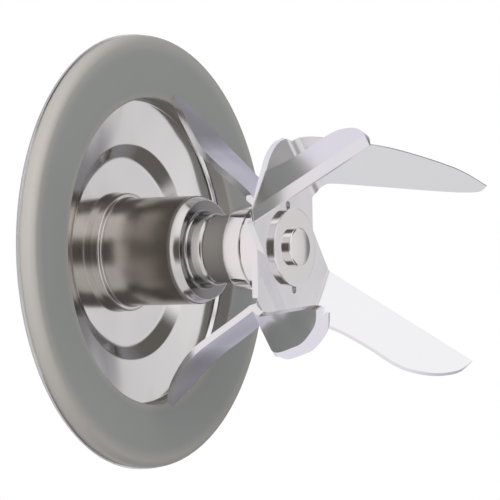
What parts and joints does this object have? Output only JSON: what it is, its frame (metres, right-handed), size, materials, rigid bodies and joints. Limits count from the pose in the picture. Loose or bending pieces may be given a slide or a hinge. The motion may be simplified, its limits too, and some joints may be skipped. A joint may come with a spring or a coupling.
{
  "type": "blender blade assembly",
  "caption": "Blender blade unit with folded wings on a sealed ball-bearing shaft, on a round stamped base with a sealing gasket and a square drive end.",
  "frame": {"origin": "on the axis of rotation, level with the underside of the plate rim", "axes": "+Z along the axis of rotation towards the blades; +Y towards one wing of the bottom blade"},
  "size_m": [0.0804, 0.0804, 0.0818],
  "materials": {
    "plate_steel": "polished stamped stainless steel",
    "housing_steel": "satin turned stainless steel",
    "polished_steel": "polished stainless steel",
    "blade_steel": "fine satin stainless sheet with ground edges",
    "bearing_steel": "ground bearing steel",
    "spring_steel": "dark phosphated spring steel",
    "sintered_bush": "matte sintered metal",
    "cage_nylon": "natural nylon",
    "gasket_silicone": "soft satin grey silicone",
    "seal_rubber": "black rubber"
  },
  "bodies": {
    "base": {"backing_washer": "housing_steel", "base_plate": "plate_steel", "bearing_housing": "housing_steel", "gasket": "gasket_silicone", "housing_retaining_ring": "spring_steel", "lock_nut": "housing_steel", "lower_bearing_outer_race": "bearing_steel", "lower_bearing_shields": "bearing_steel", "neck_bush": "sintered_bush", "shaft_seal": "seal_rubber", "upper_bearing_outer_race": "bearing_steel", "upper_bearing_shields": "bearing_steel"},
    "rotor": {"drive_shaft": "polished_steel", "slinger_collar": "polished_steel", "spacer_collar": "polished_steel", "bottom_blade": "blade_steel", "middle_blade": "blade_steel", "top_blade": "blade_steel", "cap_washer": "polished_steel", "bearing_spacer": "bearing_steel", "shaft_retaining_ring": "spring_steel", "upper_bearing_inner_race": "bearing_steel", "lower_bearing_inner_race": "bearing_steel"},
    "upper_ball_ring": {"upper_bearing_balls": "bearing_steel", "upper_bearing_cage": "cage_nylon"},
    "lower_ball_ring": {"lower_bearing_balls": "bearing_steel", "lower_bearing_cage": "cage_nylon"}
  },
  "joints": [
    {"name": "rotor_spin", "type": "hinge", "parent": "base", "child": "rotor", "pos_m": [0, 0, 0], "axis": [0, 0, 1], "continuous": true},
    {"name": "upper_balls_spin", "type": "hinge", "parent": "base", "child": "upper_ball_ring", "pos_m": [0, 0, 0], "axis": [0, 0, 1], "continuous": true},
    {"name": "lower_balls_spin", "type": "hinge", "parent": "base", "child": "lower_ball_ring", "pos_m": [0, 0, 0], "axis": [0, 0, 1], "continuous": true}
  ],
  "couplings": [
    {"joint": "upper_balls_spin", "follows": "rotor_spin", "ratio": 0.40083},
    {"joint": "lower_balls_spin", "follows": "rotor_spin", "ratio": 0.40083}
  ]
}
